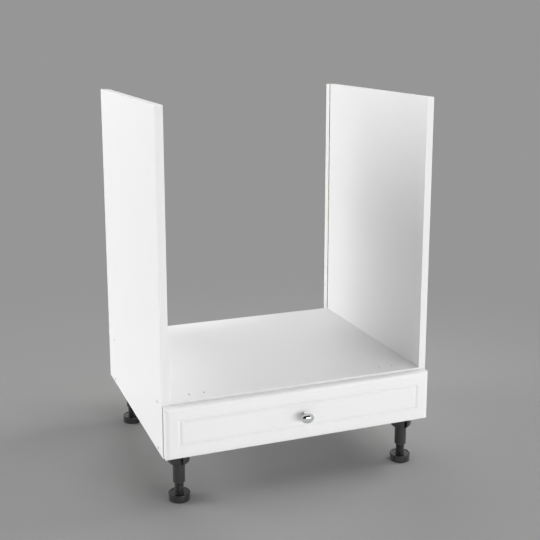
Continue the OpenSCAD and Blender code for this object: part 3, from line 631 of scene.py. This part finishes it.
def knob_section(half):
    """The knob's section where its head reaches so far from the axis, in mm."""
    rim = (half - RIM_RADIUS, RIM_HEIGHT)
    rise = knob_reach - RIM_HEIGHT
    dome = (rim[0] ** 2 + rise ** 2 - RIM_RADIUS ** 2) / (2 * (rise - RIM_RADIUS))
    centre = (0, knob_reach - dome)
    meet = math.degrees(math.atan2(rim[1] - centre[1], rim[0]))
    bow = arc(rim, RIM_RADIUS, RIM_START, meet, RIM_STEPS)
    # Each corner: its radius from the axis, its height, and how round it is.
    section = softened([
        (0, 0, 0),
        (KNOB_FOOT_RADIUS, 0, 0.2),
        (KNOB_FOOT_RADIUS, KNOB_FOOT_HEIGHT, 0.5),
        (KNOB_STEM_RADIUS, KNOB_FOOT_HEIGHT + KNOB_FOOT_RISE, 1.2),
        (KNOB_STEM_RADIUS, KNOB_STEM_TOP, 5.0),
        bow[0],
    ])
    return section + bow[1:] + arc(centre, dome, meet, 90, DOME_STEPS)[1:]


def knob_ring(wide, high):
    """A ring whose half width and height on each of the two axes are given."""
    ring = []
    for k in range(KNOB_POINTS):
        across, up = math.cos(k * math.tau / KNOB_POINTS), math.sin(k * math.tau / KNOB_POINTS)
        out = wide[1] * across ** 2 + high[1] * up ** 2
        ring.append((wide[0] * across * MM, high[0] * up * MM, out * MM))
    return ring


knob_mesh = skin("turned_knob", [
    knob_ring(wide, high) for wide, high in zip(
        knob_section((knob_high.x - knob_low.x) / 2 / MM),
        knob_section((knob_high.z - knob_low.z) / 2 / MM),
    )
])
knob_x = (knob_low.x + knob_high.x) / 2
knob_z = (knob_low.z + knob_high.z) / 2
upright_to_front = Matrix.Rotation(math.pi / 2, 4, "X")
knob_mesh.transform(Matrix.Translation((knob_x, knob_high.y, knob_z)) @ upright_to_front)
stand_in("oval_knob", knob_mesh, "knob")

# %% [markdown]
# ## Trees that build shapes
# Geometry Nodes make what repeats or follows a path: the threads of the feet and the screws,
# and the rows of screws themselves. A tree is a small machine with named inputs. These helpers
# start one, end it so that its instances become real mesh with a finish, and run it on a mesh.

# %% Helpers for trees
def new_tree(name, inputs):
    """Starts a tree with a shape and other named inputs. Returns it and its input sockets."""
    tree = bpy.data.node_groups.new(name, "GeometryNodeTree")
    for label, kind in (("Shape", "Geometry"), *inputs.items()):
        tree.interface.new_socket(label, in_out="INPUT", socket_type="NodeSocket" + kind)
    tree.interface.new_socket("Shape", in_out="OUTPUT", socket_type="NodeSocketGeometry")
    return tree, add(tree, "NodeGroupInput").outputs


def end_tree(tree, shape, material):
    """Ends a tree: its instances become real mesh, and the mesh takes the finish."""
    real = add(tree, "GeometryNodeRealizeInstances", {"Geometry": shape})
    painted = add(tree, "GeometryNodeSetMaterial", {
        "Geometry": real.outputs["Geometry"], "Material": material,
    })
    add(tree, "NodeGroupOutput", {"Shape": painted.outputs["Geometry"]})


def grow(mesh, tree, values):
    """Runs a tree on a mesh, with its inputs set by name, and returns a plain mesh."""
    carrier = bpy.data.objects.new("carrier", mesh)
    bpy.context.collection.objects.link(carrier)
    modifier = carrier.modifiers.new(tree.name, "NODES")
    modifier.node_group = tree
    for item in tree.interface.items_tree:
        if item.in_out == "INPUT" and item.name in values:
            modifier[item.identifier] = values[item.name]
    ready = carrier.evaluated_get(bpy.context.evaluated_depsgraph_get())
    result = bpy.data.meshes.new_from_object(ready)
    carrier.modifiers.clear()
    bpy.data.objects.remove(carrier)
    return result


# %% [markdown]
# ## A tree that winds a thread
# A thread is a ridge that follows a helix. The tree draws the helix as a spiral whose two
# radii are the same, and sweeps a small diamond along it. Half of the diamond is buried in the
# core, so what shows is a ridge with a sharp crest. The curve's normal is kept level, or the
# ridge would slowly lean over as it climbs.

# %% Thread tree
thread_tree, given = new_tree("wind_thread", {
    "Core radius": "Float", "Crest height": "Float", "Ridge width": "Float",
    "Pitch": "Float", "Start": "Float", "Length": "Float", "Steps per turn": "Int",
    "Finish": "Material",
})
turns = add(thread_tree, "ShaderNodeMath", {
    0: given["Length"], 1: given["Pitch"],
}, operation="DIVIDE")
helix = add(thread_tree, "GeometryNodeCurveSpiral", {
    "Resolution": given["Steps per turn"], "Rotations": turns.outputs[0],
    "Start Radius": given["Core radius"], "End Radius": given["Core radius"],
    "Height": given["Length"],
})
level = add(thread_tree, "GeometryNodeSetCurveNormal", {
    "Curve": helix.outputs["Curve"],
}, mode="Z_UP")
diamond = add(thread_tree, "GeometryNodeCurvePrimitiveCircle", {"Resolution": 4, "Radius": 1.0})
half_width = add(thread_tree, "ShaderNodeMath", {
    0: given["Ridge width"], 1: 0.5,
}, operation="MULTIPLY")
size = add(thread_tree, "ShaderNodeCombineXYZ", {
    "X": given["Crest height"], "Y": half_width.outputs[0], "Z": 1.0,
})
section = add(thread_tree, "GeometryNodeTransform", {
    "Geometry": diamond.outputs["Curve"], "Scale": size.outputs[0],
})
ridge = add(thread_tree, "GeometryNodeCurveToMesh", {
    "Curve": level.outputs["Curve"], "Profile Curve": section.outputs["Geometry"],
    "Fill Caps": True,
})
lift = add(thread_tree, "ShaderNodeCombineXYZ", {"Z": given["Start"]})
raised = add(thread_tree, "GeometryNodeTransform", {
    "Geometry": ridge.outputs["Mesh"], "Translation": lift.outputs[0],
})
whole = add(thread_tree, "GeometryNodeJoinGeometry")
thread_tree.links.new(raised.outputs["Geometry"], whole.inputs["Geometry"])
thread_tree.links.new(given["Shape"], whole.inputs["Geometry"])
end_tree(thread_tree, whole.outputs["Geometry"], given["Finish"])
print("thread tree,", len(thread_tree.nodes), "nodes")

# %% [markdown]
# ## The feet
# Each foot is one moulding: a thick disc with a shallow dish in its top, a collar, and a
# coarse threaded spindle that screws up into the leg's tube. The disc, the collar and the
# spindle's core are turned from one section, and the tree winds the thread round the core. The
# four feet are alike, so the shape is made once and copied to each leg.

# %% Feet
FOOT_RADIUS = 23.25
FOOT_TOP = 16.0
DISH_DEPTH = 1.2
DISH_RADIUS = 20.25
COLLAR_RADIUS = 11.0
COLLAR_TOP = 17.0
CORE_RADIUS = 9.25
SPINDLE_TOP = 82.0
FOOT_POINTS = 96
THREAD_FROM = 18.5
THREAD_TO = 79.5
THREAD_PITCH = 3.0
THREAD_CREST = 0.6
THREAD_WIDTH = 2.2
THREAD_STEPS = 32

dish_floor = FOOT_TOP - DISH_DEPTH
# Each corner: its radius from the axis, its height, and how round it is.
foot_section = softened([
    (0, 0, 0),
    (FOOT_RADIUS, 0, 1.0),
    (FOOT_RADIUS, FOOT_TOP, 2.0),
    (DISH_RADIUS, FOOT_TOP, 0.8),
    (DISH_RADIUS - DISH_DEPTH, dish_floor, 0.6),
    (COLLAR_RADIUS, dish_floor, 0.4),
    (COLLAR_RADIUS, FOOT_TOP, 0.3),
    (CORE_RADIUS, COLLAR_TOP, 0.3),
    (CORE_RADIUS, SPINDLE_TOP, 0.8),
    (0, SPINDLE_TOP, 0),
])


def turned(name, section, points):
    """The solid that a section of (radius, height) makes when it turns about Z, in mm."""
    turns = [(math.cos(k * math.tau / points), math.sin(k * math.tau / points))
             for k in range(points)]
    return skin(name, [
        [(x * radius * MM, y * radius * MM, height * MM) for x, y in turns]
        for radius, height in section
    ])


foot_mesh = grow(turned("foot", foot_section, FOOT_POINTS), thread_tree, {
    "Core radius": CORE_RADIUS * MM, "Crest height": THREAD_CREST * MM,
    "Ridge width": THREAD_WIDTH * MM, "Pitch": THREAD_PITCH * MM, "Start": THREAD_FROM * MM,
    "Length": (THREAD_TO - THREAD_FROM) * MM, "Steps per turn": THREAD_STEPS,
    "Finish": foot_black,
})
for node in nodes:
    if node.startswith("foot_"):
        low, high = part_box(node)
        copy = foot_mesh.copy()
        copy.transform(Matrix.Translation(((low.x + high.x) / 2, (low.y + high.y) / 2, low.z)))
        stand_in(node.replace("foot", "threaded_foot"), copy, node, foot_black)

# %% [markdown]
# ## Finding the screws
# The model holds each set of screws as plain pegs in one node. Their places are read from it:
# a copy of the node's mesh is merged and split into its separate solids, and the box of each
# solid tells where a screw lies and how long it is. The only thing to add is which way the
# head looks.

# %% Islands
MERGE_WITHIN = 1e-6


def islands(node):
    """The corners of the box round each separate solid of a CAD node, in a fixed order."""
    shape = bmesh.new()
    shape.from_mesh(nodes[node].data)
    bmesh.ops.remove_doubles(shape, verts=shape.verts, dist=MERGE_WITHIN)
    boxes = []
    waiting = set(shape.verts)
    while waiting:
        reached = [waiting.pop()]
        points = []
        while reached:
            vert = reached.pop()
            points.append(vert.co.copy())
            near = {edge.other_vert(vert) for edge in vert.link_edges} & waiting
            waiting -= near
            reached.extend(near)
        boxes.append((Vector(map(min, zip(*points))), Vector(map(max, zip(*points)))))
    shape.free()
    return sorted(boxes, key=lambda box: [round(value, 5) for value in box[0]])


print("joint screws found:", len(islands("joint_screws")))

# %% [markdown]
# ## A screw
# A screw is turned too, except for the recess that the driver fits. Here the ring idea helps
# again: the last rings of the stack are not circles but a hexagon, or a cross with rounded
# arms, with the same number of points. The joint screws and the screws of the drawer box have
# a sunk head, and the others have a flat pan head. A screw's proportions hardly change with
# its size, so most numbers are shares of the shank's or the head's diameter.

# %% Screw shapes
SCREW_POINTS = 24
CORE_SHARE = 0.36
TIP_SHARE = 1.2
UNDER_HEAD = 0.7
SUNK_RIM = 0.25
SUNK_SOFT = 0.15
SUNK_RECESS = 0.4
# The pan head's section, in shares of the head's diameter and of its height.
PAN_HEAD = [(0.5, 1), (0.5, 0.45), (0.46, 0.15), (0.36, 0)]
PAN_RECESS = 0.55
RECESS_TAPER = 0.9


def circle(angle):
    """How far a circle of radius 1 reaches: the same at every angle."""
    return 1.0


def hexagon(angle):
    """How far a hexagon of radius 1 reaches at an angle in degrees."""
    return math.cos(math.radians(30)) / math.cos(math.radians(angle % 60 - 30))


def cross(angle):
    """How far a cross reaches at an angle: full along its arms, less between them."""
    off_arm = min(angle % 90, 90 - angle % 90)
    return {0: 1.0, 15: 0.97, 30: 0.56, 45: 0.44}[round(off_arm)]


RECESS_SHARE = {hexagon: 0.27, cross: 0.3}


def screw_core(name, shank, length, head, head_height, sunk, recess):
    """A screw with its head's face at z = 0 and its tip below. Sizes in mm."""
    core = CORE_SHARE * shank
    turned_rings = [
        (0, -length), (core, -length + TIP_SHARE * shank),
        (core, -head_height - UNDER_HEAD), (shank / 2, -head_height),
    ]
    if sunk:
        turned_rings += [(head / 2, -SUNK_RIM), (head / 2 - SUNK_SOFT, 0)]
        depth = SUNK_RECESS * shank
    else:
        turned_rings += [(wide * head, -deep * head_height) for wide, deep in PAN_HEAD]
        depth = PAN_RECESS * head_height
    reach = RECESS_SHARE[recess] * head
    stack = [(radius, height, circle) for radius, height in turned_rings]
    stack += [(reach, 0, recess), (RECESS_TAPER * reach, -depth, recess)]
    step = 360 / SCREW_POINTS
    rings = []
    for radius, height, outline in stack:
        ring = []
        for k in range(SCREW_POINTS):
            out = radius * outline(k * step) * MM
            angle = math.radians(k * step)
            ring.append((out * math.cos(angle), out * math.sin(angle), height * MM))
        rings.append(ring)
    return skin(name, rings)


# %% [markdown]
# ## Rows of screws
# A second tree sets a finished screw at every place. Each place is a lone point that carries
# the direction in which the head looks. Screws never stop at the same angle, so every one is
# also spun by a random amount, with a fixed seed so that the picture comes out the same again.

# %% Screw rows tree
rows_tree, given = new_tree("set_screws", {
    "Screw": "Object", "Seed": "Int", "Finish": "Material",
})
screw_shape = add(rows_tree, "GeometryNodeObjectInfo", {
    "Object": given["Screw"], "As Instance": True,
})
outward = add(rows_tree, "GeometryNodeInputNamedAttribute", {
    "Name": "outward",
}, data_type="FLOAT_VECTOR")
facing = add(rows_tree, "FunctionNodeAlignRotationToVector", {
    "Vector": outward.outputs["Attribute"],
}, axis="Z")
placed = add(rows_tree, "GeometryNodeInstanceOnPoints", {
    "Points": given["Shape"], "Instance": screw_shape.outputs["Geometry"],
    "Rotation": facing.outputs["Rotation"],
})
chance = add(rows_tree, "FunctionNodeRandomValue", {"Seed": given["Seed"]}, data_type="FLOAT")
spin = add(rows_tree, "ShaderNodeMath", {
    0: chance.outputs[1], 1: math.tau,
}, operation="MULTIPLY")
about = add(rows_tree, "ShaderNodeCombineXYZ", {"Z": spin.outputs[0]})
spun = add(rows_tree, "GeometryNodeRotateInstances", {
    "Instances": placed.outputs["Instances"], "Rotation": about.outputs[0],
    "Local Space": True,
})
end_tree(rows_tree, spun.outputs["Instances"], given["Finish"])
print("rows tree,", len(rows_tree.nodes), "nodes")

# %% [markdown]
# ## Setting the screws
# Every kind of screw in the cabinet is one line of a table. For each kind one screw is made:
# its core from rings, its thread from the first tree. Then the second tree sets that screw at
# all places of its kind, as long and as thick as the pegs were.

# %% Screws in place
REAR = Vector((0, 1, 0))
DOWN = Vector((0, 0, -1))
RIGHT = Vector((1, 0, 0))
# Each kind: shank diameter, head height, sunk head, recess, and where the head looks. A number
# instead of a direction means along X, away from the middle or, if negative, towards it.
SCREW_KINDS = {
    "joint_screws": (5.0, 1.0, True, hexagon, 1),
    "drawer_box_screws": (4.0, 1.75, True, cross, 1),
    "front_fixing_screws": (4.0, 1.75, True, cross, REAR),
    "back_strip_screws": (3.5, 1.8, False, cross, REAR),
    "knob_screw": (4.0, 2.6, False, cross, REAR),
    "leg_screws": (4.0, 2.4, False, cross, DOWN),
    "cabinet_rail_screws": (5.0, 1.0, False, cross, -1),
    "drawer_rail_screws": (3.5, 1.2, False, cross, DOWN),
}
PLAIN_NECK = 1.5
CREST_SHARE = 0.14
RIDGE_SHARE = 1.4
PITCH_SHARE = 0.45
SCREW_STEPS = 12


def set_screws(node, seed, shank, head_height, sunk, recess, looks):
    """Replaces a node's pegs by threaded screws of the same size, at the same places."""
    places, directions = [], []
    for low, high in islands(node):
        middle = (low + high) / 2
        way = looks
        if not isinstance(looks, Vector):
            way = RIGHT * math.copysign(1, middle.x) * looks
        half = (high - low) / 2
        length = 2 * abs(half.dot(way))
        head = 2 * sorted(half)[1]
        places.append(middle + way * length / 2)
        directions.append(way)
    core = screw_core(node, shank, length / MM, head / MM, head_height, sunk, recess)
    tip = TIP_SHARE * shank
    crest = CREST_SHARE * shank * MM
    screw = bpy.data.objects.new(node + "_one", grow(core, thread_tree, {
        "Core radius": CORE_SHARE * shank * MM, "Crest height": crest,
        "Ridge width": RIDGE_SHARE * crest, "Pitch": PITCH_SHARE * shank * MM,
        "Start": -length + tip * MM, "Length": length - (head_height + PLAIN_NECK + tip) * MM,
        "Steps per turn": SCREW_STEPS, "Finish": zinc,
    }))
    points = bpy.data.meshes.new(node + "_places")
    points.from_pydata(places, [], [])
    named = points.attributes.new("outward", "FLOAT_VECTOR", "POINT")
    for value, direction in zip(named.data, directions):
        value.vector = direction
    rows = grow(points, rows_tree, {"Screw": screw, "Seed": seed, "Finish": zinc})
    bpy.data.objects.remove(screw)
    stand_in("threaded_" + node, rows, node)
    print(len(places), "screws,", round(length / MM, 1), "mm long")


for seed, (node, kind) in enumerate(SCREW_KINDS.items()):
    set_screws(node, seed, *kind)

# %% [markdown]
# ## The studio
# The cabinet stands on a plain grey floor that turns into an even backdrop. Near the cabinet
# the floor is a matt surface that takes its soft shadow. Further out it fades into the flat
# tone that the camera sees behind everything, so the floor's far edge doesn't show. Only the
# camera sees that grey. In the photo, the chrome and the black feet mirror a white sweep, so
# every other ray finds a white floor. It also lifts the undersides and the grooves' upper
# walls, as a white floor does.

# %% Floor
BACKDROP = 0.305
FLOOR_COLOUR = 0.35
SWEEP_COLOUR = 0.80
SWEEP_GLOW = 0.60
FLOOR_RADIUS = 9.0
FLOOR_POINTS = 96
FADE_FROM = 0.45
FADE_TO = 1.5

mesh = bpy.data.meshes.new("studio_floor")
shape = bmesh.new()
bmesh.ops.create_circle(shape, cap_ends=True, segments=FLOOR_POINTS, radius=FLOOR_RADIUS)
shape.to_mesh(mesh)
shape.free()
floor = bpy.data.objects.new("studio_floor", mesh)
bpy.context.collection.objects.link(floor)


def grey(level):
    """A grey of that linear level, as a node's colour takes it."""
    return (level, level, level, 1)


def fading_floor(tree, matt_level, flat_level):
    """A matt floor near the cabinet that fades into a flat tone further out."""
    matt = add(tree, "ShaderNodeBsdfDiffuse", {"Color": grey(matt_level)})
    flat = add(tree, "ShaderNodeEmission", {"Color": grey(flat_level), "Strength": 1.0})
    reach = add(tree, "ShaderNodeVectorMath", {0: position(tree)}, operation="LENGTH")
    fade = add(tree, "ShaderNodeMapRange", {
        "Value": reach.outputs["Value"], "From Min": FADE_FROM, "From Max": FADE_TO,
    }, interpolation_type="SMOOTHSTEP")
    return add(tree, "ShaderNodeMixShader", {
        0: fade.outputs["Result"], 1: matt.outputs[0], 2: flat.outputs[0],
    }).outputs[0]


studio, tree, shader = finish("studio_floor_matt")
tree.nodes.remove(shader)
ray = add(tree, "ShaderNodeLightPath").outputs
seen_floor = add(tree, "ShaderNodeMixShader", {
    0: ray["Is Camera Ray"], 1: fading_floor(tree, SWEEP_COLOUR, SWEEP_GLOW),
    2: fading_floor(tree, FLOOR_COLOUR, BACKDROP),
})
feed(tree, tree.nodes["Material Output"], {"Surface": seen_floor.outputs[0]})
mesh.materials.append(studio)
print("floor fades from", FADE_FROM, "to", FADE_TO, "m")

# %% [markdown]
# ## What surrounds the cabinet
# The world has three looks. The camera sees the backdrop's grey. Matt surfaces receive an even
# soft light. Shiny surfaces see a white room with a broad dark part, which lies almost
# straight in front and ends forty to fifty degrees up. A real studio is dark there, behind
# the camera. That dark part is what draws the black arc across the knob. Its edges are soft,
# so each is given by two values. The sides take the cosine of the angle from the dark part's
# middle, and the top takes the sine of the height.

# %% World
AMBIENT = 0.12
WHITE_ROOM = 0.80
DARK_ROOM = 0.01
DARK_TURN = math.radians(-4)
DARK_SIDES = (0.45, 0.62)
DARK_TOP = (0.66, 0.78)

world = bpy.data.worlds.new("studio")
bpy.context.scene.world = world
world.use_nodes = True
tree = world.node_tree
seen = tree.nodes["Background"]
feed(tree, seen, {"Color": grey(BACKDROP)})
ambient = add(tree, "ShaderNodeBackground", {"Color": grey(1), "Strength": AMBIENT})
direction = add(tree, "ShaderNodeTexCoord").outputs["Generated"]
ahead = add(tree, "ShaderNodeVectorMath", {
    0: direction, 1: (math.sin(DARK_TURN), -math.cos(DARK_TURN), 0),
}, operation="DOT_PRODUCT")
height = add(tree, "ShaderNodeSeparateXYZ", {0: direction}).outputs["Z"]
frontal = between(tree, ahead.outputs["Value"], 0.0, 1.0, *DARK_SIDES)
below = between(tree, height, 1.0, 0.0, *DARK_TOP)
dark = add(tree, "ShaderNodeMath", {0: frontal, 1: below}, operation="MULTIPLY")
room = between(tree, dark.outputs[0], WHITE_ROOM, DARK_ROOM)
mirrored = add(tree, "ShaderNodeBackground", {"Color": grey(1), "Strength": room})
ray = add(tree, "ShaderNodeLightPath").outputs
matt_or_shiny = add(tree, "ShaderNodeMixShader", {
    0: ray["Is Glossy Ray"], 1: ambient.outputs[0], 2: mirrored.outputs[0],
})
either = add(tree, "ShaderNodeMixShader", {
    0: ray["Is Camera Ray"], 1: matt_or_shiny.outputs[0], 2: seen.outputs[0],
})
feed(tree, tree.nodes["World Output"], {"Surface": either.outputs[0]})
print("world,", len(tree.nodes), "nodes")

# %% [markdown]
# ## The lamps
# Broad panels light the cabinet from six metres away, so the light is soft and hardly falls
# off over the cabinet's height. Each lamp's place is an angle round the cabinet, counted from
# the front towards the right, and an angle above the floor. The key stands behind it on the
# left and looks through the open back, so the inner face of the right panel is bright at the
# rear and falls off towards the front. The fill is wide and low and stands in front, a little
# to the right. It lights the edges and the drawer front, leaves the groove's left-facing walls
# slightly darker, and is the bright patch in the middle of the knob. The lamp on the right
# stands high and lights the top edges. The one high in front lights the shelf's front and the
# drawer front's top rounding. The left and the rear one lift the rest.

# %% Lamps
AIM = Vector((0, 0, 0.45))
LAMP_DISTANCE = 6.0


def panel_lamp(name, around, above, width, height, power, mirrored=False):
    """A lamp turned to the middle of the cabinet. Only a mirrored one shows in shiny parts."""
    turn, tilt = math.radians(around), math.radians(above)
    outward = Vector((
        math.sin(turn) * math.cos(tilt), -math.cos(turn) * math.cos(tilt), math.sin(tilt),
    ))
    data = bpy.data.lights.new(name, "AREA")
    data.shape = "RECTANGLE"
    data.size = width
    data.size_y = height
    data.energy = power
    lamp = bpy.data.objects.new(name, data)
    lamp.location = AIM + outward * LAMP_DISTANCE
    lamp.rotation_euler = (-outward).to_track_quat("-Z", "Y").to_euler()
    lamp.visible_glossy = mirrored
    bpy.context.collection.objects.link(lamp)
    print(name, power, "W")


panel_lamp("key_rear_left", around=242, above=15, width=3.2, height=3.2, power=180)
panel_lamp("fill_front", around=18, above=3.5, width=6.0, height=1.8, power=220, mirrored=True)
panel_lamp("side_left", around=262, above=10, width=3.6, height=3.6, power=110)
panel_lamp("side_right", around=95, above=45, width=2.4, height=2.4, power=136)
panel_lamp("rear", around=170, above=15, width=3.6, height=3.6, power=155)
panel_lamp("top_front", around=36, above=65, width=3.0, height=3.0, power=88)

# %% [markdown]
# ## How colours are shown
# A filmic view would grey the whites. The Standard view shows a colour about as it is written,
# so the white of the board stays the white that was chosen.

# %% View
view_settings = bpy.context.scene.view_settings
view_settings.view_transform = "Standard"
print("view", view_settings.view_transform)
